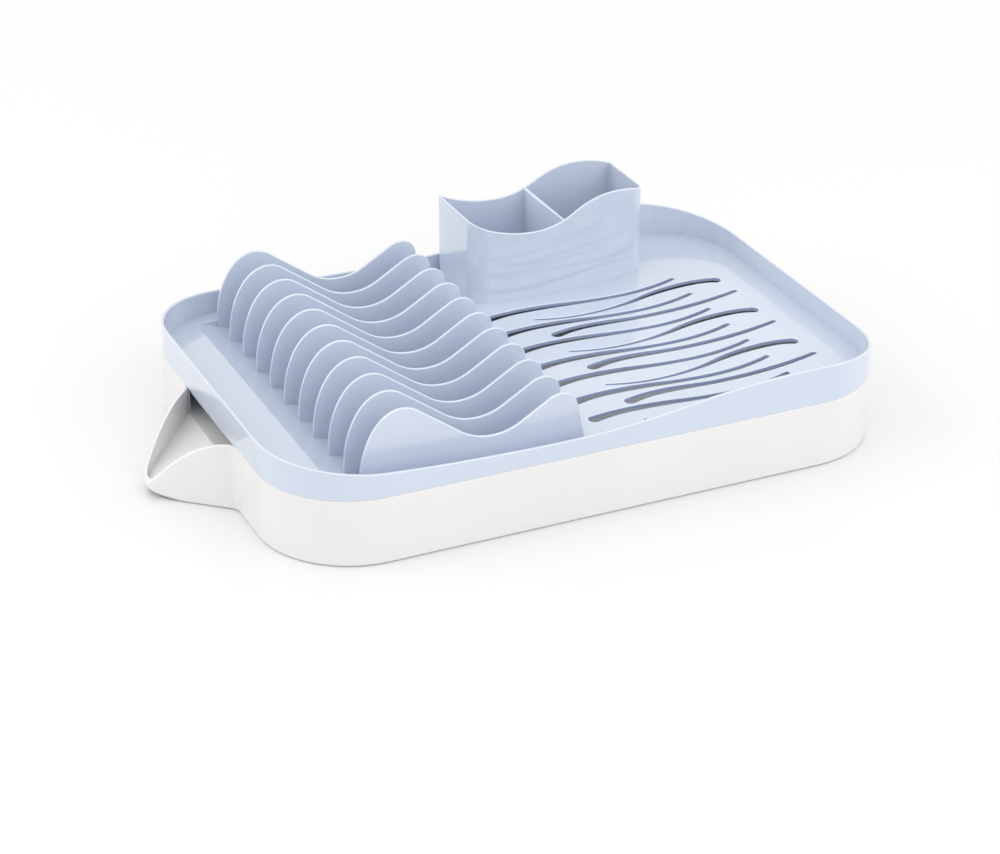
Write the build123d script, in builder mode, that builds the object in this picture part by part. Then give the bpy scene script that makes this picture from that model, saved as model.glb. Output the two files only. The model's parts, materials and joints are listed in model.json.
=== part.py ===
"""Dish drying rack: a drip tray with a pouring spout, a draining tray nested in it, and a cutlery cup.

Millimetres, +Z up, +X along the rack towards the cup end, +Y to the back.
The origin is the centre of the tray's rectangle, on the surface that the rack stands on.
"""

import os
from math import acos, atan2, cos, degrees, hypot, radians, sin, tan

from build123d import *

# Lengths that make up the rack, from the left end: margin, plate trough, dish area
trough_inset = 39.5
trough_span = 187.5
dish_span = 243.0

# Widths that make up the rack: plate gaps, and a margin at the front and the back
divider_count = 11
divider_pitch = 28.4
divider_margin = 20.0

# Outline shared by both trays
corner_radius = 69.0
rack_length = trough_inset + trough_span + dish_span
rack_width = (divider_count - 1) * divider_pitch + 2 * divider_margin

# Drip tray
base_height = 50.0
base_wall = 2.4
base_floor = 2.4
basin_fall = 3.0
base_edge_break = 1.2

# Pouring spout, a beak on the left wall
spout_half_width = 51.0
spout_half_angle = 41.0
spout_tip_radius = 16.6
spout_blend_radius = 12.0
spout_lip_height = 8.6
ramp_top = 30.0
ramp_low = 6.8
landing_length = 30.0
landing_half_width = 44.0

# Draining tray: floor with its rise over the seam, and the lip that centres it in the drip tray
tray_floor = 3.2
floor_rise = 2.0
lip_wall = 1.8
lip_depth = 6.0
nest_clearance = 0.5

# Wavy rim of the draining tray: heights over the seam, places from the left end, ends a wall outside
rim_wall = 2.2
rim_left = 24.8
rim_dip = 13.3
rim_dip_at = 195.0
rim_crest = 28.5
rim_crest_at = 395.0
rim_right = 17.1

# Plate trough in the draining tray's floor
trough_slope = 14.0
trough_round = 150.0
trough_wall = 2.0
trough_drain_length = 64.0
trough_drain_width = 7.0

# Plate dividers: heights over the floor, reach of the high crest, and the slanted end beside the low one
divider_thickness = 2.2
divider_start = 16.0
divider_end = 4.3
high_crest = 51.8
high_crest_reach = 31.0
high_crest_radius = 21.0
low_crest = 38.4
low_crest_radius = 19.0
divider_end_radius = 12.0
divider_end_slant = 11.0
divider_dip = 17.4
divider_dip_radius = 40.0
dip_share = 0.566

# Drain slots in rows from the front, placed from the trough and from the right end
slot_wide = 9.6
slot_narrow = 4.4
slot_hairline = 2.6
slot_rows = 14
slot_pitch = 15.0
slot_front_margin = 27.5
flick_gap = 15.3
flick_margin = 69.0
swing_gap = 47.3
swing_margin = 39.6
climb_gap = 51.1
climb_margin = 35.0

# Start, two level turns and end of each kind of slot: share of its length, and sideways
flick_bends = ((0, 0), (0.18, 3.4), (0.67, -2.4), (1, 8))
swing_bends = ((0, 0), (0.235, -7.1), (0.89, 10.6), (1, 7.5))
climb_bends = ((0, 0), (0.17, 4.4), (0.48, 1.8), (1, 13.4))

# Cutlery cup: depths of its bowed front, heights over the tray's floor, places from its left end
cup_length = 148.0
cup_left_depth = 69.0
cup_depth = 73.0
cup_right_depth = 62.0
cup_trough_gap = 15.0
cup_back_gap = 4.8
cup_wall = 2.0
cup_floor = 2.0
cup_front_radius = 16.0
cup_back_radius = 3.0
cup_left = 66.3
cup_dip = 54.0
cup_dip_at = 48.0
cup_crest = 73.5
cup_crest_at = 116.0
cup_right = 66.3
cup_partition_at = 73.0
cup_drain_length = 34.0
cup_drain_width = 4.0
cup_drain_columns = 4

# Places that follow from the sizes above
left_end = -rack_length / 2
right_end = rack_length / 2
floor_top = base_height + floor_rise
floor_bottom = floor_top - tray_floor
trough_left = left_end + trough_inset
trough_middle = trough_left + trough_span / 2
trough_right = trough_left + trough_span
trough_half_width = (divider_count - 1) * divider_pitch / 2 + divider_thickness / 2
divider_left = trough_left + divider_start
divider_right = trough_right - divider_end
divider_end_turn = 90 - divider_end_slant
divider_end_straight = low_crest - divider_end_radius * (1 - cos(radians(divider_end_turn)))
low_crest_reach = divider_end_radius * sin(radians(divider_end_turn))
low_crest_reach += divider_end_straight * tan(radians(divider_end_slant))
flick_slot = (trough_right + flick_gap, right_end - flick_margin)
swing_slot = (trough_right + swing_gap, right_end - swing_margin)
climb_slot = (trough_right + climb_gap, right_end - climb_margin)
spout_point = left_end - spout_half_width / tan(radians(spout_half_angle))
spout_tip = spout_point + spout_tip_radius * (1 / sin(radians(spout_half_angle)) - 1)
landing_end = left_end + landing_length
ramp_drop = base_floor / cos(atan2(ramp_top - ramp_low, left_end - spout_tip))
cup_x = trough_right + cup_trough_gap
cup_right_end = cup_x + cup_length
cup_centre_x = cup_x + cup_length / 2
cup_back = rack_width / 2 - rim_wall - cup_back_gap
cup_centre_y = cup_back - cup_depth / 2
cup_partition_x = cup_x + cup_partition_at


def rack_outline(inset=0.0, mode=Mode.ADD):
    """Rounded rectangle of the rack, drawn in by an inset."""
    RectangleRounded(
        rack_length - 2 * inset,
        rack_width - 2 * inset,
        corner_radius - inset,
        mode=mode,
    )


def s_bend(first, second):
    """Two equal arcs, level at both ends, that meet half way between them."""
    turn = ((first[0] + second[0]) / 2, (first[1] + second[1]) / 2)
    TangentArc(first, turn, tangent=(1, 0))
    TangentArc(second, turn, tangent=(-1, 0))


def level_bend(first, second, first_radius, second_radius):
    """Arc, straight and arc, level at both ends, with radii that shrink where the room is short."""
    reach = second[0] - first[0]
    height = abs(second[1] - first[1])
    room = (reach**2 + height**2) / (2 * height)
    fit = min(1, 0.98 * room / (first_radius + second_radius))
    radii = fit * (first_radius + second_radius)
    turn = degrees(atan2(reach, radii - height) - acos(radii / hypot(reach, radii - height)))
    if second[1] < first[1]:
        turn = -turn
    leaving = JernArc(first, (1, 0), fit * first_radius, turn)
    arriving = JernArc(second, (-1, 0), fit * second_radius, turn)
    Line(leaving @ 1, arriving @ 1)


def wave(start, first, second, end):
    """Arc, S-bend and arc through four points, level at the two in the middle."""
    TangentArc(first, start, tangent=(-1, 0))
    s_bend(first, second)
    TangentArc(second, end, tangent=(1, 0))


def above_wave(*points):
    """Region over a wave that runs along X."""
    start, end = points[0], points[-1]
    top = rack_width
    with BuildSketch(Plane.XZ) as region:
        with BuildLine():
            wave(*points)
            Polyline(end, (end[0], top), (start[0], top), start)
        make_face()
    return region.sketch


def trough_line(grow=0.0):
    """V of the trough with its rounded bottom, moved outwards by a wall."""
    half_span = trough_span / 2 + grow / sin(radians(trough_slope))
    bottom = floor_top - half_span * tan(radians(trough_slope))
    return FilletPolyline(
        (trough_middle - half_span, floor_top),
        (trough_middle, bottom),
        (trough_middle + half_span, floor_top),
        radius=trough_round + grow,
    )


def trough_section(grow=0.0):
    """Closed section of the trough, up to the floor."""
    with BuildSketch(Plane.XZ) as section:
        with BuildLine():
            line = trough_line(grow)
            Line(line @ 1, line @ 0)
        make_face()
    return section.sketch


def wavy_slot(span, y, bends, left_width, right_width):
    """Drain slot along a wave, with a bulb at its wide end that soon narrows."""
    start, end = span
    rise = bends[-1][1]
    back, front = [], []
    for share, across in bends:
        x = start + share * (end - start)
        ease = share**2 if right_width > left_width else 1 - (1 - share) ** 2
        half = (left_width + ease * (right_width - left_width)) / 2
        back.append((x, y + across + half))
        front.append((x, y + across - half))
    with BuildSketch(Plane.XY.offset(floor_bottom)) as slot:
        with BuildLine():
            wave(*back)
            wave(*front)
            ThreePointArc(front[0], (start - left_width / 2, y), back[0])
            ThreePointArc(front[-1], (end + right_width / 2, y + rise), back[-1])
        make_face()
    return slot.sketch


def drain_slot(row):
    """Long slots in every second row, and two kinds of short slot in turn between them."""
    y = slot_front_margin - rack_width / 2 + row * slot_pitch
    if row % 2 == 1:
        return wavy_slot(flick_slot, y, flick_bends, slot_wide, slot_narrow)
    if row % 4 == 0:
        return wavy_slot(swing_slot, y, swing_bends, slot_hairline, slot_wide)
    return wavy_slot(climb_slot, y, climb_bends, slot_wide, slot_narrow)


def cup_plan():
    """Plan of the cup: near-square corners at the back, round ones at the bowed front."""
    with BuildSketch() as plan:
        with BuildLine():
            front = ThreePointArc(
                (cup_x, cup_back - cup_left_depth),
                (cup_centre_x, cup_back - cup_depth),
                (cup_right_end, cup_back - cup_right_depth),
            )
            Polyline(front @ 1, (cup_right_end, cup_back), (cup_x, cup_back), front @ 0)
        make_face()
        fillet(plan.vertices().sort_by(Axis.Y)[:2], cup_front_radius)
        fillet(plan.vertices().group_by(Axis.Y)[-1], cup_back_radius)
    return plan.sketch


def cup_inside(inset, height):
    """Plan of the cup drawn in by an inset, at a height over the tray's floor."""
    with BuildSketch(Plane.XY.offset(floor_top + height)) as plan:
        add(cup_plan())
        offset(amount=-inset, mode=Mode.REPLACE)
    return plan.sketch


# Drip tray: outline and beak in one plan, and the inside of its even wall
with BuildSketch() as base_plan:
    rack_outline()
    with BuildLine():
        Polyline(
            (left_end, -spout_half_width),
            (spout_point, 0),
            (left_end, spout_half_width),
            (left_end + spout_half_width, 0),
            close=True,
        )
    make_face()
    fillet(base_plan.vertices().sort_by(Axis.X)[0], spout_tip_radius)
    inner_corners = base_plan.vertices().sort_by(lambda corner: abs(corner.X - left_end))
    roots = inner_corners.filter_by(lambda corner: abs(abs(corner.Y) - spout_half_width) < base_wall)
    fillet(roots[:2], spout_blend_radius)

with BuildSketch() as basin_plan:
    add(base_plan.sketch)
    offset(amount=-base_wall, mode=Mode.REPLACE)

with BuildPart() as drip_tray:
    add(base_plan.sketch)
    extrude(amount=base_height)
    # The beak's rim falls in a parabola from the seam to the lip
    with BuildSketch(Plane.XZ):
        with BuildLine():
            fall = Bezier(
                (left_end, base_height),
                ((left_end + spout_tip) / 2, base_height),
                (spout_tip, spout_lip_height),
            )
            Polyline(
                fall @ 1,
                (spout_tip - base_wall, spout_lip_height),
                (spout_tip - base_wall, base_height + base_wall),
                (left_end, base_height + base_wall),
                fall @ 0,
            )
        make_face()
    extrude(amount=rack_width, both=True, mode=Mode.SUBTRACT)
    chamfer(drip_tray.edges().group_by(Axis.Z)[0], base_edge_break)
    # Mouth of the spout, over a ramp that falls from the left wall to the lip
    with BuildSketch(Plane.XY.offset(-base_wall)):
        add(basin_plan.sketch)
    inside = extrude(amount=2 * base_height, mode=Mode.PRIVATE)
    with BuildSketch(Plane.XZ):
        with BuildLine():
            Polyline(
                (spout_tip, ramp_low),
                (left_end, ramp_top),
                (left_end + 2 * base_wall, ramp_top),
                (left_end + 2 * base_wall, base_height + base_wall),
                (spout_tip, base_height + base_wall),
                close=True,
            )
        make_face()
    over_ramp = extrude(amount=spout_half_width, both=True, mode=Mode.PRIVATE)
    add(over_ramp & inside, mode=Mode.SUBTRACT)
    # Basin, with a floor that falls towards the spout
    with BuildSketch(Plane.XY.offset(base_floor)):
        rack_outline(base_wall)
    extrude(amount=base_height, mode=Mode.SUBTRACT)
    with BuildSketch(Plane.XZ):
        with BuildLine():
            Polyline(
                (left_end + base_wall, base_floor),
                (right_end - base_wall, base_floor),
                (right_end - base_wall, base_floor + basin_fall),
                close=True,
            )
        make_face()
    fall_wedge = extrude(amount=rack_width, both=True, mode=Mode.PRIVATE)
    with BuildSketch(Plane.XY.offset(base_floor)):
        rack_outline(base_wall)
    basin_block = extrude(amount=basin_fall, mode=Mode.PRIVATE)
    add(fall_wedge & basin_block)
    # Landing inside the mouth, with one pocket under it and the ramp that leaves an even shell
    with BuildSketch(Plane.XZ):
        with BuildLine():
            Polyline(
                (left_end + base_wall / 2, base_floor / 2),
                (landing_end, base_floor / 2),
                (landing_end, ramp_top),
                (left_end + base_wall / 2, ramp_top),
                close=True,
            )
        make_face()
    extrude(amount=landing_half_width, both=True)
    with BuildSketch(Plane.XZ):
        with BuildLine():
            Polyline(
                (spout_tip, -base_wall),
                (landing_end - base_wall, -base_wall),
                (landing_end - base_wall, ramp_top - ramp_drop),
                (left_end, ramp_top - ramp_drop),
                (spout_tip, ramp_low - ramp_drop),
                close=True,
            )
        make_face()
    pocket = extrude(amount=landing_half_width - base_wall, both=True, mode=Mode.PRIVATE)
    add(pocket & inside, mode=Mode.SUBTRACT)

# Draining tray: floor plate, wavy rim, centring lip, plate trough and drains
with BuildPart() as draining_tray:
    with BuildSketch(Plane.XY.offset(base_height)):
        rack_outline()
    extrude(amount=rim_crest)
    with BuildSketch(Plane.XY.offset(floor_top)):
        rack_outline(rim_wall)
    extrude(amount=rim_crest, mode=Mode.SUBTRACT)
    above_rim = above_wave(
        (left_end - rim_wall, base_height + rim_left),
        (left_end + rim_dip_at, base_height + rim_dip),
        (left_end + rim_crest_at, base_height + rim_crest),
        (right_end + rim_wall, base_height + rim_right),
    )
    extrude(above_rim, amount=rack_width, both=True, mode=Mode.SUBTRACT)
    with BuildSketch(Plane.XY.offset(floor_bottom)):
        rack_outline(base_wall + nest_clearance)
    extrude(amount=tray_floor / 2)
    with BuildSketch(Plane.XY.offset(base_height)):
        rack_outline(base_wall + nest_clearance)
        rack_outline(base_wall + nest_clearance + lip_wall, mode=Mode.SUBTRACT)
    extrude(amount=-lip_depth)
    extrude(trough_section(trough_wall), amount=trough_half_width + trough_wall, both=True)
    extrude(trough_section(), amount=trough_half_width, both=True, mode=Mode.SUBTRACT)
    # One drain at the bottom of each plate gap
    with BuildSketch(Plane.XY):
        with Locations((trough_middle, 0)):
            with GridLocations(trough_span, divider_pitch, 1, divider_count - 1):
                Rectangle(trough_drain_length, trough_drain_width)
    extrude(amount=floor_top, mode=Mode.SUBTRACT)
    for row in range(slot_rows):
        extrude(drain_slot(row), amount=tray_floor, mode=Mode.SUBTRACT)


def plate_divider(index):
    """Wavy divider of one row, counted from the back, whose foot follows the trough."""
    y = ((divider_count - 1) / 2 - index) * divider_pitch
    crest = (divider_left + high_crest_reach, floor_top + high_crest)
    last_crest = (divider_right - low_crest_reach, floor_top + low_crest)
    dip = (crest[0] + dip_share * (last_crest[0] - crest[0]), floor_top + divider_dip)
    with BuildPart() as divider:
        with BuildSketch(Plane.XZ.offset(-y - divider_thickness / 2)):
            with BuildLine():
                EllipticalCenterArc((crest[0], floor_top), high_crest_reach, high_crest, 90, arc_size=90)
                level_bend(crest, dip, high_crest_radius, divider_dip_radius)
                level_bend(dip, last_crest, divider_dip_radius, low_crest_radius)
                end = JernArc(last_crest, (1, 0), divider_end_radius, -divider_end_turn)
                Polyline(
                    end @ 1,
                    (divider_right, floor_top),
                    (divider_right, 0),
                    (divider_left, 0),
                    (divider_left, floor_top),
                )
            make_face()
            with BuildLine():
                foot = trough_line()
                Polyline(
                    foot @ 1,
                    (right_end, floor_top),
                    (right_end, 0),
                    (left_end, 0),
                    (left_end, floor_top),
                    foot @ 0,
                )
            make_face(mode=Mode.SUBTRACT)
        extrude(amount=divider_thickness)
    divider.part.label = f"plate_divider_{index + 1:02d}"
    return divider.part


# Cutlery cup: open box with a partition, a wavy top and drain slots
with BuildPart() as cutlery_cup:
    with BuildSketch(Plane.XY.offset(floor_top)):
        add(cup_plan())
    extrude(amount=cup_floor + cup_crest)
    extrude(cup_inside(cup_wall, cup_floor), amount=cup_crest, mode=Mode.SUBTRACT)
    with BuildSketch(Plane.XY.offset(floor_top + cup_floor / 2)):
        add(cup_inside(cup_wall / 2, 0))
        with Locations((cup_partition_x, cup_centre_y)):
            Rectangle(cup_wall, 2 * cup_depth, mode=Mode.INTERSECT)
    extrude(amount=cup_crest)
    above_cup = above_wave(
        (cup_x - cup_wall, floor_top + cup_left),
        (cup_x + cup_dip_at, floor_top + cup_dip),
        (cup_x + cup_crest_at, floor_top + cup_crest),
        (cup_right_end + cup_wall, floor_top + cup_right),
    )
    extrude(above_cup, amount=rack_width, both=True, mode=Mode.SUBTRACT)
    with BuildSketch(Plane.XY.offset(floor_top)):
        for start, end in ((cup_x, cup_partition_x), (cup_partition_x, cup_right_end)):
            with Locations(((start + end) / 2, cup_centre_y)):
                with GridLocations((end - start) / (cup_drain_columns + 1), cup_depth, cup_drain_columns, 1):
                    Rectangle(cup_drain_width, cup_drain_length)
    extrude(amount=cup_floor, mode=Mode.SUBTRACT)

drip_tray.part.label = "drip_tray"
draining_tray.part.label = "draining_tray"
cutlery_cup.part.label = "cutlery_cup"

os.makedirs("parts", exist_ok=True)
export_step(drip_tray.part, "parts/drip_tray.step")
export_step(draining_tray.part, "parts/draining_tray.step")
export_step(cutlery_cup.part, "parts/cutlery_cup.step")
for row in range(divider_count):
    divider = plate_divider(row)
    export_step(divider, f"parts/{divider.label}.step")
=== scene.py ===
"""Looks of a dish drying rack: white drip tray, blue draining tray, plate dividers and cutlery cup.

Sizes are in metres and angles in degrees. Each piece is made from its solid's mesh and stays in its place.
"""

import json
import logging
import math
from dataclasses import dataclass
from enum import Enum
from typing import List, Tuple

import bmesh
import bpy
from mathutils import Euler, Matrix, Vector

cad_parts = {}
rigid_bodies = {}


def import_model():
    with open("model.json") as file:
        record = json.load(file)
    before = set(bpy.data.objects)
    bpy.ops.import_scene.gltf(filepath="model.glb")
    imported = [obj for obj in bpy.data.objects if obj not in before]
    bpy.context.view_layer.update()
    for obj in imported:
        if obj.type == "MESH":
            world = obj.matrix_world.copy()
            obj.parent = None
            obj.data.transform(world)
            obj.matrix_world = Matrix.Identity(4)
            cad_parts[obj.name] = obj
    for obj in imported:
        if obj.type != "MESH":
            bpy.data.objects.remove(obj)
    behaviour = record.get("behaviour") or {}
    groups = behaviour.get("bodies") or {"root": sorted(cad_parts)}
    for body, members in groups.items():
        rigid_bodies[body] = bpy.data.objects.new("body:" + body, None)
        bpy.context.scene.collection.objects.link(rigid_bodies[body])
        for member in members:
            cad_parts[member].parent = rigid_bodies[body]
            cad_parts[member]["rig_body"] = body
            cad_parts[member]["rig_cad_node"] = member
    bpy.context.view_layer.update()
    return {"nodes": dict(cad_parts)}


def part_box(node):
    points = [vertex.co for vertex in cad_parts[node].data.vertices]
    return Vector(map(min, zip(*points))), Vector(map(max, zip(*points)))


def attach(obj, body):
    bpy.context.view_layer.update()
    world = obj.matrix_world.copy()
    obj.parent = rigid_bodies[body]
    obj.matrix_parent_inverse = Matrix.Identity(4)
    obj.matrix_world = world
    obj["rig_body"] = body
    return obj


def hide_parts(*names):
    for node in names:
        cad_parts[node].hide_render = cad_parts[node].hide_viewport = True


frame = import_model()

log = logging.getLogger("dish_rack")

Point = Tuple[float, float, float]
Colour = Tuple[float, float, float, float]
Span = Tuple[float, float]

# Height of the draining tray's floor, on which the cutlery cup stands
FLOOR_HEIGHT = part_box("cutlery_cup")[0][2]

# Height up to which the pieces on that floor keep a crisp foot
FOOT_SLACK = 0.0005
FOOT_HEIGHT = FLOOR_HEIGHT + FOOT_SLACK

WHITE_LIGHT: Colour = (1.0, 1.0, 1.0, 1.0)


class Slot(Enum):
    """Material slots of the record."""

    BLUE = "blue_plastic"
    WHITE = "white_plastic"


class Body(Enum):
    """Bodies that the pieces ride on."""

    BASE = "drip_tray"
    TRAY = "draining_tray"
    CUP = "cutlery_cup"


class Mark(Enum):
    """Face attributes that the plastic reads."""

    # Rounded edges that face up, which get a painted highlight
    THIN_EDGE = "thin_edge"
    # Walls of the drain slots, which get painted shade
    SLOT_WALL = "slot_wall"


class FaceKind(Enum):
    """Material indices that tell the rounded edges from the plain faces while a piece is made."""

    PLAIN = 0
    ROUNDED = 1


def noise(tree: bpy.types.NodeTree, scale: float, detail: float) -> bpy.types.NodeSocket:
    """Adds a noise that stays with the piece.

    Args:
        tree: Node tree to add to.
        scale: Waves of the noise in a metre.
        detail: Levels of finer waves.

    Returns:
        The output with the noise's value.
    """
    place = tree.nodes.new("ShaderNodeTexCoord")
    texture = tree.nodes.new("ShaderNodeTexNoise")
    texture.inputs["Scale"].default_value = scale
    texture.inputs["Detail"].default_value = detail
    tree.links.new(place.outputs["Object"], texture.inputs["Vector"])
    return texture.outputs["Fac"]


def colour_where(
    tree: bpy.types.NodeTree,
    mark: Mark,
    base: bpy.types.NodeSocket,
    marked: bpy.types.NodeSocket,
) -> bpy.types.NodeSocket:
    """Adds a colour that differs on the marked faces.

    Args:
        tree: Node tree to add to.
        mark: Mark that the faces carry.
        base: Colour of the other faces.
        marked: Colour of the marked faces.

    Returns:
        The output with the colour.
    """
    reader = tree.nodes.new("ShaderNodeAttribute")
    reader.attribute_name = mark.value
    mix = tree.nodes.new("ShaderNodeMix")
    mix.data_type = "RGBA"
    tree.links.new(reader.outputs["Fac"], mix.inputs["Factor"])
    tree.links.new(base, mix.inputs["A"])
    tree.links.new(marked, mix.inputs["B"])
    return mix.outputs["Result"]


@dataclass(frozen=True)
class MouldedSkin:
    """Surface that a mould leaves: faint flow shading, uneven gloss and a fine grain.

    The flow's noise is stretched from flow_band to flow_shade, which multiplies the colour.
    """

    name: str = "moulded_skin"
    flow_scale: float = 9.0
    flow_detail: float = 3.0
    flow_band: Span = (0.3, 0.7)
    flow_shade: Span = (0.965, 1.0)
    haze_scale: float = 60.0
    haze_detail: float = 4.0
    grain_scale: float = 1400.0
    grain_detail: float = 2.0

    def group(self) -> bpy.types.NodeTree:
        """Shared node group of the surface, built once.

        Returns:
            Group with colour, roughness and height outputs.
        """
        if self.name in bpy.data.node_groups:
            return bpy.data.node_groups[self.name]
        tree = bpy.data.node_groups.new(self.name, "ShaderNodeTree")
        self.add_sockets(tree)
        given = tree.nodes.new("NodeGroupInput")
        put = tree.nodes.new("NodeGroupOutput")
        tree.links.new(self.shaded_colour(tree, given), put.inputs["Colour"])
        gloss = tree.nodes.new("ShaderNodeMath")
        gloss.operation = "MULTIPLY_ADD"
        tree.links.new(noise(tree, self.haze_scale, self.haze_detail), gloss.inputs[0])
        tree.links.new(given.outputs["Roughness spread"], gloss.inputs[1])
        tree.links.new(given.outputs["Roughness"], gloss.inputs[2])
        tree.links.new(gloss.outputs["Value"], put.inputs["Roughness"])
        tree.links.new(noise(tree, self.grain_scale, self.grain_detail), put.inputs["Height"])
        return tree

    def add_sockets(self, tree: bpy.types.NodeTree) -> None:
        """Names what the group takes in and puts out.

        Args:
            tree: Node tree of the group.
        """
        for name in ("Colour", "Painted highlight colour", "Painted shade colour"):
            tree.interface.new_socket(name, in_out="INPUT", socket_type="NodeSocketColor")
        for name in ("Roughness", "Roughness spread"):
            tree.interface.new_socket(name, in_out="INPUT", socket_type="NodeSocketFloat")
        tree.interface.new_socket("Colour", in_out="OUTPUT", socket_type="NodeSocketColor")
        for name in ("Roughness", "Height"):
            tree.interface.new_socket(name, in_out="OUTPUT", socket_type="NodeSocketFloat")

    def shaded_colour(self, tree: bpy.types.NodeTree, given: bpy.types.Node) -> bpy.types.NodeSocket:
        """Adds the colour of plain faces, a painted highlight on upward-facing rounded edges and painted
        shade on slot walls, under the flow shading.

        Args:
            tree: Node tree of the group.
            given: Group input with the three colours.

        Returns:
            The output with the colour.
        """
        # Painted highlight: a lighter colour on rounded edges that face up
        painted_highlight = colour_where(tree, Mark.THIN_EDGE, given.outputs["Colour"], given.outputs["Painted highlight colour"])
        # Painted shade: a darker, bluer colour on the walls of drain slots
        painted_shade = colour_where(tree, Mark.SLOT_WALL, painted_highlight, given.outputs["Painted shade colour"])
        flow = tree.nodes.new("ShaderNodeMapRange")
        flow.inputs["From Min"].default_value = self.flow_band[0]
        flow.inputs["From Max"].default_value = self.flow_band[1]
        flow.inputs["To Min"].default_value = self.flow_shade[0]
        flow.inputs["To Max"].default_value = self.flow_shade[1]
        tree.links.new(noise(tree, self.flow_scale, self.flow_detail), flow.inputs["Value"])
        shade = tree.nodes.new("ShaderNodeMix")
        shade.data_type = "RGBA"
        shade.blend_type = "MULTIPLY"
        shade.inputs["Factor"].default_value = 1.0
        tree.links.new(painted_shade, shade.inputs["A"])
        tree.links.new(flow.outputs["Result"], shade.inputs["B"])
        return shade.outputs["Result"]


@dataclass(frozen=True)
class MouldedPlastic:
    """Glossy injection-moulded plastic, with a painted highlight on upward-facing rounded edges and painted
    shade on the walls of slots.
    """

    slot: Slot
    colour: Colour
    painted_highlight_colour: Colour
    painted_shade_colour: Colour
    roughness: float
    roughness_spread: float
    grain_strength: float
    gloss: float
    gloss_roughness: float = 0.06
    grain_depth: float = 0.0002
    refraction: float = 1.5

    def material(self) -> bpy.types.Material:
        """Material of this plastic.

        Returns:
            A new node material.
        """
        made = bpy.data.materials.new(self.slot.value)
        made.use_nodes = True
        nodes, links = made.node_tree.nodes, made.node_tree.links
        shader = nodes["Principled BSDF"]
        shader.inputs["IOR"].default_value = self.refraction
        shader.inputs["Coat Weight"].default_value = self.gloss
        shader.inputs["Coat Roughness"].default_value = self.gloss_roughness
        skin = nodes.new("ShaderNodeGroup")
        skin.node_tree = MouldedSkin().group()
        skin.inputs["Colour"].default_value = self.colour
        skin.inputs["Painted highlight colour"].default_value = self.painted_highlight_colour
        skin.inputs["Painted shade colour"].default_value = self.painted_shade_colour
        skin.inputs["Roughness"].default_value = self.roughness
        skin.inputs["Roughness spread"].default_value = self.roughness_spread
        bump = nodes.new("ShaderNodeBump")
        bump.inputs["Strength"].default_value = self.grain_strength
        bump.inputs["Distance"].default_value = self.grain_depth
        links.new(skin.outputs["Colour"], shader.inputs["Base Color"])
        links.new(skin.outputs["Roughness"], shader.inputs["Roughness"])
        links.new(skin.outputs["Height"], bump.inputs["Height"])
        links.new(bump.outputs["Normal"], shader.inputs["Normal"])
        return made


BLUE = MouldedPlastic(
    slot=Slot.BLUE,
    colour=(0.60, 0.665, 0.785, 1.0),
    # painted highlight: lighter blue on rounded edges that face up
    painted_highlight_colour=(0.72, 0.77, 0.86, 1.0),
    # painted shade: darker, bluer colour on the walls of drain slots
    painted_shade_colour=(0.36, 0.45, 0.68, 1.0),
    roughness=0.10,
    roughness_spread=0.08,
    grain_strength=0.02,
    gloss=1.0,
)

WHITE = MouldedPlastic(
    slot=Slot.WHITE,
    colour=(0.81, 0.805, 0.795, 1.0),
    # painted highlight on rounded edges that face up
    painted_highlight_colour=(0.84, 0.835, 0.83, 1.0),
    # painted shade for the walls of drain slots
    painted_shade_colour=(0.8, 0.79, 0.78, 1.0),
    roughness=0.16,
    roughness_spread=0.10,
    grain_strength=0.03,
    gloss=0.4,
)


def select_only(piece: bpy.types.Object) -> None:
    """Makes one object the only selected and active one.

    Args:
        piece: Object to select.
    """
    bpy.ops.object.select_all(action="DESELECT")
    piece.select_set(True)
    bpy.context.view_layer.objects.active = piece


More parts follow.
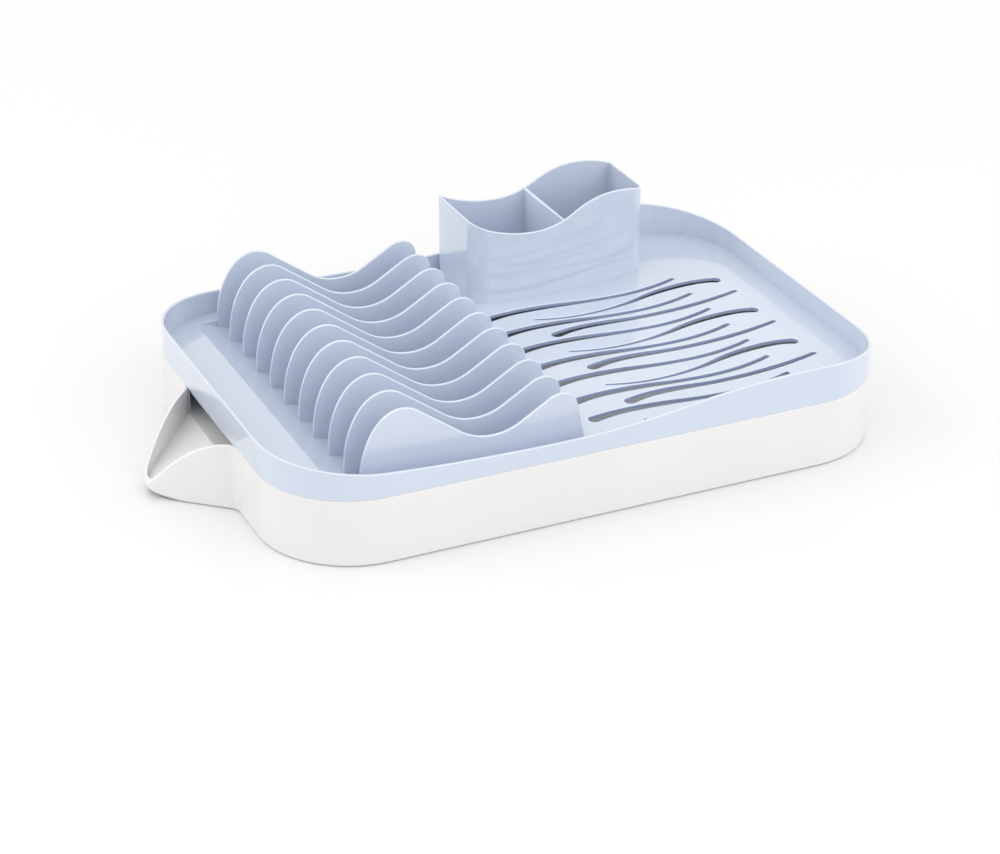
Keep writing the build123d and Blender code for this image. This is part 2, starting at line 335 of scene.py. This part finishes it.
@dataclass
class Moulding:
    """One moulded piece, taken from its solid and given the rounded edges that a mould leaves.

    Faces within flat_angle of one plane are joined. Outer edges sharper than sharp_angle are rounded, apart
    from those that reach no higher than foot_height. Rounded faces get a painted highlight where the Z of
    their normal is over least_upward.
    """

    node: str
    body: Body
    slot: Slot
    edge_round: float
    foot_height: float = -math.inf
    segments: int = 3
    sharp_angle: float = 32.0
    flat_angle: float = 0.4
    double_gap: float = 0.000002
    least_upward: float = 0.2

    def build(self) -> bpy.types.Object:
        """Copies the solid, joins its triangles into clean faces, shapes them and rounds the edges.

        Returns:
            The finished mesh object.
        """
        piece = self.copy_solid()
        self.clean_faces(piece, self.double_gap)
        self.shape(piece)
        self.weigh_edges(piece)
        self.round_edges(piece)
        self.mark_faces(piece)
        return piece

    def copy_solid(self) -> bpy.types.Object:
        """Copies the solid's object and mesh, without its body, material and stored normals.

        Returns:
            The new mesh object.
        """
        solid = frame["nodes"][self.node]
        piece = solid.copy()
        piece.data = solid.data.copy()
        piece.name = f"{self.node}_moulding"
        piece.data.materials.clear()
        bpy.context.scene.collection.objects.link(piece)
        piece.parent = None
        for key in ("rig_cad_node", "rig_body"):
            if key in piece:
                del piece[key]
        select_only(piece)
        bpy.ops.mesh.customdata_custom_splitnormals_clear()
        return piece

    def clean_faces(self, piece: bpy.types.Object, gap: float) -> None:
        """Merges doubled corners and joins the faces that lie in one plane.

        Args:
            piece: Mesh object to clean.
            gap: Distance within which corners count as doubled.
        """
        select_only(piece)
        bpy.ops.object.mode_set(mode="EDIT")
        bpy.ops.mesh.select_all(action="SELECT")
        bpy.ops.mesh.remove_doubles(threshold=gap)
        bpy.ops.mesh.dissolve_limited(angle_limit=math.radians(self.flat_angle))
        bpy.ops.object.mode_set(mode="OBJECT")

    def shape(self, piece: bpy.types.Object) -> None:
        """Shapes the clean faces further, which a plain moulding doesn't need."""

    def is_fold(self, ends: List[Vector]) -> bool:
        """Tells whether an edge is a shallow fold that stays crisp, of which a plain moulding has none."""
        return False

    def weigh_edges(self, piece: bpy.types.Object) -> None:
        """Weighs the outer edges for rounding, and keeps inner corners, folds and feet crisp.

        Args:
            piece: Mesh object with clean faces.
        """
        shape = bmesh.new()
        shape.from_mesh(piece.data)
        weight = shape.edges.layers.float.new("bevel_weight_edge")
        sharp = math.radians(self.sharp_angle)
        for edge in shape.edges:
            ends = [corner.co for corner in edge.verts]
            if self.is_fold(ends):
                edge.smooth = False
            elif edge.calc_face_angle(0.0) > sharp:
                rounded = edge.is_convex and max(end.z for end in ends) > self.foot_height
                edge[weight] = float(rounded)
                edge.smooth = rounded
        shape.to_mesh(piece.data)
        shape.free()

    def round_edges(self, piece: bpy.types.Object) -> None:
        """Rounds the weighed edges and smooths the faces.

        Args:
            piece: Mesh object with weighed edges.
        """
        select_only(piece)
        bpy.ops.object.shade_smooth(keep_sharp_edges=True)
        rounding = piece.modifiers.new("edge_round", "BEVEL")
        rounding.width = self.edge_round
        rounding.segments = self.segments
        rounding.limit_method = "WEIGHT"
        rounding.use_clamp_overlap = False
        rounding.harden_normals = True
        rounding.loop_slide = False
        rounding.material = FaceKind.ROUNDED.value
        for _ in FaceKind:
            piece.data.materials.append(None)
        bpy.ops.object.modifier_apply(modifier=rounding.name)

    def mark_faces(self, piece: bpy.types.Object) -> None:
        """Marks the rounded edges that face up for the painted highlight, and empties the material slots
        for the plastic.

        Args:
            piece: Mesh object with rounded edges.
        """
        mesh = piece.data
        # Painted highlight mask: rounded faces whose normal points up
        painted_highlight = mesh.attributes.new(Mark.THIN_EDGE.value, "FLOAT", "FACE")
        for face in mesh.polygons:
            rounded = face.material_index == FaceKind.ROUNDED.value
            painted_highlight.data[face.index].value = float(rounded and face.normal.z > self.least_upward)
            face.material_index = FaceKind.PLAIN.value
        mesh.materials.clear()

    def dress(self, piece: bpy.types.Object, material: bpy.types.Material) -> None:
        """Gives the piece its plastic and puts it in the solid's place.

        Args:
            piece: Finished mesh object.
            material: Plastic of its slot.
        """
        piece.data.materials.append(material)
        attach(piece, self.body.value)
        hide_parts(self.node)


@dataclass
class DripTray(Moulding):
    """Drip tray, whose spout curls up off the counter and has a wide landing behind its mouth.

    The curl bends the spout's walls up to curl_band, and lifts the foot's broken edge, which is foot_break
    high, with the underside. The landing's ends are along X, and its sides are measured from the middle.
    """

    node: str = "drip_tray"
    body: Body = Body.BASE
    slot: Slot = Slot.WHITE
    edge_round: float = 0.0005
    curl_length: float = 0.024
    curl_rise: float = 0.0052
    curl_cuts: int = 8
    curl_band: float = 0.0075
    foot_break: float = 0.0012
    landing_top: float = 0.030
    landing_ends: Span = (-0.2338, -0.205)
    landing_sides: Span = (0.0428, 0.082)
    least_web: float = 0.0004
    corner_gap: float = 0.0001

    def shape(self, piece: bpy.types.Object) -> None:
        """Widens the landing and curls the spout.

        Args:
            piece: Mesh object with clean faces.
        """
        for side in (-1.0, 1.0):
            self.widen_landing(piece, side)
        self.curl_spout(piece)

    def widen_landing(self, piece: bpy.types.Object, side: float) -> None:
        """Carries the landing behind the spout's mouth on along the wall, to one side.

        Args:
            piece: Mesh object with clean faces.
            side: 1 towards +Y and -1 towards -Y.
        """
        low = Vector((self.landing_ends[0], side * self.landing_sides[0], self.foot_break))
        high = Vector((self.landing_ends[1], side * self.landing_sides[1], self.landing_top))
        bpy.ops.object.select_all(action="DESELECT")
        bpy.ops.mesh.primitive_cube_add(size=1.0, location=(low + high) / 2.0)
        block = bpy.context.object
        block.scale = [abs(reach) for reach in high - low]
        bpy.ops.object.transform_apply(location=True, scale=True)
        select_only(piece)
        union = piece.modifiers.new("landing", "BOOLEAN")
        union.operation = "UNION"
        union.solver = "EXACT"
        union.object = block
        bpy.ops.object.modifier_apply(modifier=union.name)
        bpy.data.objects.remove(block)
        self.clean_faces(piece, self.corner_gap)

    def curl_spout(self, piece: bpy.types.Object) -> None:
        """Cuts the spout across and lifts its underside along the curl.

        Args:
            piece: Mesh object with clean faces.
        """
        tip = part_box(self.node)[0][0]
        start = tip + self.curl_length
        self.cut_spout(piece, start)
        for corner in piece.data.vertices:
            along = min(start - corner.co.x, self.curl_length)
            if along <= 0.0:
                continue
            if corner.co.z < self.foot_break + self.least_web:
                corner.co.z += self.rise(along)
            else:
                corner.co.z = max(corner.co.z, self.rise(along) + self.least_web)

    def cut_spout(self, piece: bpy.types.Object, start: float) -> None:
        """Parts a low band off the spout's walls and cuts it across, so that it can bend.

        Args:
            piece: Mesh object with clean faces.
            start: Where the curl starts, along X.
        """
        select_only(piece)
        bpy.ops.object.mode_set(mode="EDIT")
        bpy.ops.mesh.select_mode(type="FACE")
        self.select_spout(piece, start, math.inf)
        bpy.ops.mesh.bisect(plane_co=(0.0, 0.0, self.curl_band), plane_no=(0.0, 0.0, 1.0))
        for cut in range(self.curl_cuts):
            self.select_spout(piece, start, self.curl_band)
            place = start - self.curl_length * cut / self.curl_cuts
            bpy.ops.mesh.bisect(plane_co=(place, 0.0, 0.0), plane_no=(1.0, 0.0, 0.0))
            bpy.ops.mesh.remove_doubles(threshold=self.least_web, use_unselected=True)
        bpy.ops.object.mode_set(mode="OBJECT")

    def select_spout(self, piece: bpy.types.Object, start: float, top: float) -> None:
        """Selects the faces that reach into the curl and lie below a height.

        Args:
            piece: Mesh object in edit mode.
            start: Where the curl starts, along X.
            top: Height that no selected face reaches past.
        """
        shape = bmesh.from_edit_mesh(piece.data)
        bpy.ops.mesh.select_all(action="DESELECT")
        for face in shape.faces:
            corners = [corner.co for corner in face.verts]
            in_curl = min(corner.x for corner in corners) < start
            below = max(corner.z for corner in corners) < top + self.corner_gap
            face.select_set(in_curl and below)
        bmesh.update_edit_mesh(piece.data)

    def rise(self, along: float) -> float:
        """Height of the spout's underside, on an arc, at a distance past the start of the curl."""
        radius = (self.curl_length ** 2 + self.curl_rise ** 2) / (2.0 * self.curl_rise)
        return radius - math.sqrt(radius ** 2 - along ** 2)


@dataclass
class DrainingTray(Moulding):
    """Draining tray, whose plate trough folds off the floor along two crisp lines.

    The trough's ends are along X. The walls of the drain slots are marked for painted shade from wall_drop
    below the floor's top, where the Z of their normal is under most_upward.
    """

    node: str = "draining_tray"
    body: Body = Body.TRAY
    slot: Slot = Slot.BLUE
    edge_round: float = 0.0006
    floor_thickness: float = 0.0032
    trough_ends: Span = (-0.1955, -0.008)
    fold_slack: float = 0.0002
    level_slack: float = 0.0001
    wall_drop: float = 0.0005
    most_upward: float = 0.2

    def is_fold(self, ends: List[Vector]) -> bool:
        """Tells whether an edge is one of the two folds between the floor and the trough.

        Args:
            ends: Places of the edge's two ends.

        Returns:
            True for a fold.
        """
        level = all(abs(end.z - FLOOR_HEIGHT) < self.level_slack for end in ends)
        on_lines = [all(abs(end.x - line) < self.fold_slack for end in ends) for line in self.trough_ends]
        return level and any(on_lines)

    def mark_faces(self, piece: bpy.types.Object) -> None:
        """Marks the rounded edges as on any moulding, and the walls of the drain slots for painted shade.

        Args:
            piece: Mesh object with rounded edges.
        """
        super().mark_faces(piece)
        mesh = piece.data
        # Painted shade mask on the walls of the drain slots beside the trough
        slot_shade = mesh.attributes.new(Mark.SLOT_WALL.value, "FLOAT", "FACE")
        low, high = FLOOR_HEIGHT - self.floor_thickness, FLOOR_HEIGHT - self.wall_drop
        for face in mesh.polygons:
            top = max(mesh.vertices[index].co.z for index in face.vertices)
            in_floor = low < face.center.z < high and top < FLOOR_HEIGHT + self.level_slack
            upright = abs(face.normal.z) < self.most_upward
            beside_trough = face.center.x > self.trough_ends[1]
            slot_shade.data[face.index].value = float(in_floor and upright and beside_trough)


@dataclass
class CutleryCup(Moulding):
    """Cutlery cup, which stands on the draining tray's floor with a crisp foot."""

    node: str = "cutlery_cup"
    body: Body = Body.CUP
    slot: Slot = Slot.BLUE
    edge_round: float = 0.0007
    foot_height: float = FOOT_HEIGHT


@dataclass
class PlateDivider(Moulding):
    """Plate divider, which stands in the trough with a crisp foot, as if moulded in one with the tray."""

    body: Body = Body.TRAY
    slot: Slot = Slot.BLUE
    edge_round: float = 0.0008
    foot_height: float = FOOT_HEIGHT


def mouldings() -> List[Moulding]:
    """Every moulded piece of the rack, from the counter up.

    Returns:
        The mouldings in order.
    """
    rows = [name for name in sorted(frame["nodes"]) if name.startswith("plate_divider")]
    dividers = [PlateDivider(row) for row in rows]
    return [DripTray(), DrainingTray(), CutleryCup(), *dividers]


def aim(place: Point, target: Point) -> Euler:
    """Euler angles that point an object's -Z from one place to another."""
    return (Vector(target) - Vector(place)).to_track_quat("-Z", "Y").to_euler()


@dataclass(frozen=True)
class SoftLamp:
    """Square soft lamp that faces the rack, with its power in watts."""

    name: str
    place: Point
    size: float
    power: float
    target: Point = (0.0, 0.0, 0.05)

    def build(self) -> None:
        """Adds the lamp to the scene."""
        data = bpy.data.lights.new(self.name, "AREA")
        data.size = self.size
        data.energy = self.power
        lamp = bpy.data.objects.new(self.name, data)
        bpy.context.scene.collection.objects.link(lamp)
        lamp.location = self.place
        lamp.rotation_euler = aim(self.place, self.target)


@dataclass(frozen=True)
class WhiteFloor:
    """Glossy white floor, which keeps the shadow and a faint reflection."""

    size: float = 14.0
    drop: float = 0.0004
    colour: Colour = (0.84, 0.84, 0.84, 1.0)
    roughness: float = 0.12
    camera_lift: float = 0.02

    def build(self) -> None:
        """Adds the floor just below the rack's foot."""
        bpy.ops.object.select_all(action="DESELECT")
        bpy.ops.mesh.primitive_plane_add(size=self.size, location=(0.0, 0.0, -self.drop))
        floor = bpy.context.object
        floor.name = "floor"
        bpy.ops.object.transform_apply(location=True)
        floor.data.materials.append(self.material())

    def material(self) -> bpy.types.Material:
        """Material of the floor, a little lighter to the camera than to the rack.

        Returns:
            A new node material.
        """
        made = bpy.data.materials.new("studio_floor")
        made.use_nodes = True
        nodes, links = made.node_tree.nodes, made.node_tree.links
        shader = nodes["Principled BSDF"]
        shader.inputs["Base Color"].default_value = self.colour
        shader.inputs["Roughness"].default_value = self.roughness
        shader.inputs["Emission Color"].default_value = WHITE_LIGHT
        path = nodes.new("ShaderNodeLightPath")
        lift = nodes.new("ShaderNodeMath")
        lift.operation = "MULTIPLY"
        lift.inputs[1].default_value = self.camera_lift
        links.new(path.outputs["Is Camera Ray"], lift.inputs[0])
        links.new(lift.outputs["Value"], shader.inputs["Emission Strength"])
        return made


@dataclass
class Studio:
    """Pale floor, soft light and the camera, whose lens and sensor are in millimetres."""

    camera_place: Point = (-0.78030, -1.68275, 0.95088)
    camera_target: Point = (-0.04876, -0.08236, 0.040)
    lens: float = 101.24
    sensor: float = 36.0
    world_strength: float = 0.95
    seen_strength: float = 1.0
    lamps: Tuple[SoftLamp, ...] = (
        SoftLamp("key_softbox", place=(0.6, -2.6, 1.6), size=3.0, power=24.0),
        SoftLamp("left_fill", place=(-2.6, 0.7, 1.6), size=3.0, power=27.0),
        SoftLamp("right_fill", place=(2.6, -0.9, 1.4), size=2.6, power=9.0),
    )

    def build(self) -> None:
        """Builds the camera, the lamps, the floor and the world."""
        self.add_camera()
        for lamp in self.lamps:
            lamp.build()
        WhiteFloor().build()
        self.light_world()

    def add_camera(self) -> None:
        """Adds the camera at the photograph's angle."""
        data = bpy.data.cameras.new("camera")
        data.lens = self.lens
        data.sensor_width = self.sensor
        camera = bpy.data.objects.new("camera", data)
        bpy.context.scene.collection.objects.link(camera)
        camera.location = self.camera_place
        camera.rotation_euler = aim(self.camera_place, self.camera_target)
        bpy.context.scene.camera = camera

    def light_world(self) -> None:
        """Lights the world softly and keeps it white to the camera and in reflections."""
        world = bpy.data.worlds.new("studio")
        bpy.context.scene.world = world
        world.use_nodes = True
        nodes, links = world.node_tree.nodes, world.node_tree.links
        background = nodes["Background"]
        background.inputs["Color"].default_value = WHITE_LIGHT
        path = nodes.new("ShaderNodeLightPath")
        seen = path.outputs["Is Camera Ray"]
        for ray in ("Is Glossy Ray", "Is Transmission Ray"):
            either = nodes.new("ShaderNodeMath")
            either.operation = "MAXIMUM"
            links.new(seen, either.inputs[0])
            links.new(path.outputs[ray], either.inputs[1])
            seen = either.outputs["Value"]
        level = nodes.new("ShaderNodeMapRange")
        level.inputs["To Min"].default_value = self.world_strength
        level.inputs["To Max"].default_value = self.seen_strength
        links.new(seen, level.inputs["Value"])
        links.new(level.outputs["Result"], background.inputs["Strength"])


def main() -> None:
    """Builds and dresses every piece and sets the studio."""
    logging.basicConfig(level=logging.INFO, format="%(name)s %(message)s")
    materials = {plastic.slot: plastic.material() for plastic in (BLUE, WHITE)}
    for moulding in mouldings():
        piece = moulding.build()
        moulding.dress(piece, materials[moulding.slot])
        log.info("%s: %d faces", piece.name, len(piece.data.polygons))
    Studio().build()
    bpy.context.scene.view_settings.view_transform = "Standard"


if __name__ == "__main__":
    main()
